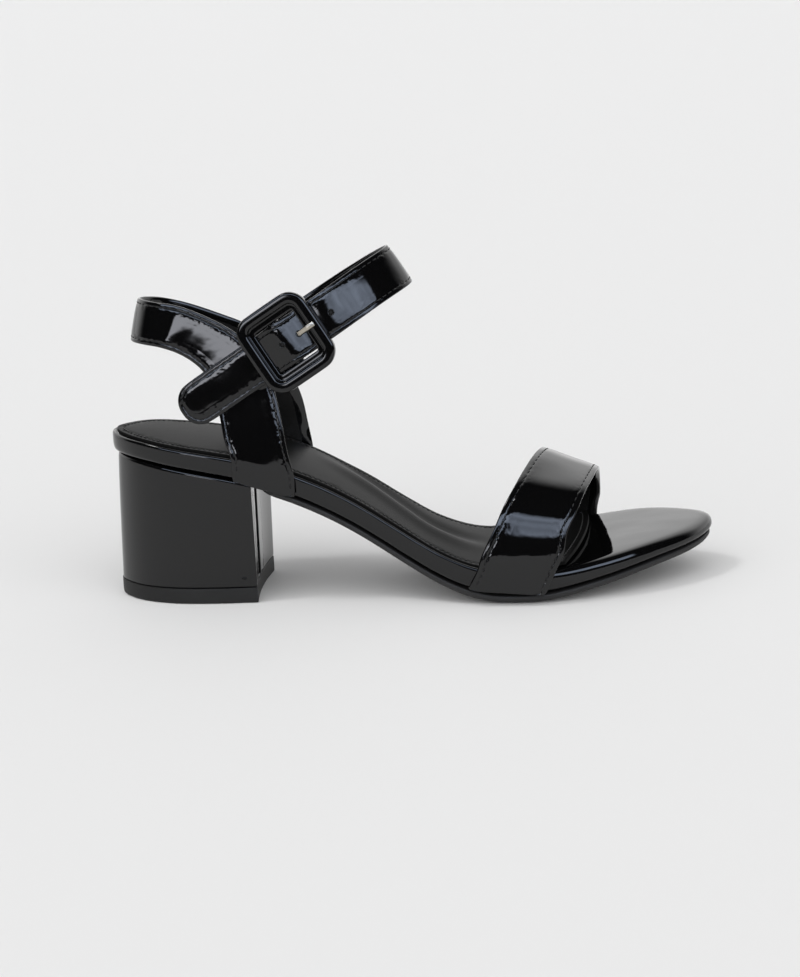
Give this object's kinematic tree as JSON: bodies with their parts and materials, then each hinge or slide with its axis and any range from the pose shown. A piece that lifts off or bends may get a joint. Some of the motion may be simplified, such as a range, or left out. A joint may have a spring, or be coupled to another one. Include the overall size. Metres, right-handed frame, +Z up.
{
  "type": "block heel sandal",
  "caption": "Right ankle-strap sandal in black patent with one wide forefoot strap, a rounded square buckle and a straight block heel.",
  "frame": {"origin": "on the floor, in the middle of the heel tip's ground face", "axes": "+X towards the toe, +Y towards the inner side of the foot, +Z up"},
  "size_m": [0.244, 0.0847, 0.1398],
  "materials": {
    "tip_rubber": "matt moulded rubber",
    "patent": "black patent, high gloss",
    "sole_rubber": "matt moulded rubber",
    "sock_lining": "smooth lining, semi-matt",
    "frame_gloss": "gloss enamel",
    "prong_metal": "worn nickel"
  },
  "bodies": {
    "root": {"heel_tip": "tip_rubber", "heel_block": "patent", "outsole": "sole_rubber", "wrapped_board": "patent", "sock_pad": "sock_lining", "vamp_strap": "patent", "rear_upper": "patent", "buckle_frame": "frame_gloss", "buckle_prong": "prong_metal"}
  },
  "joints": []
}
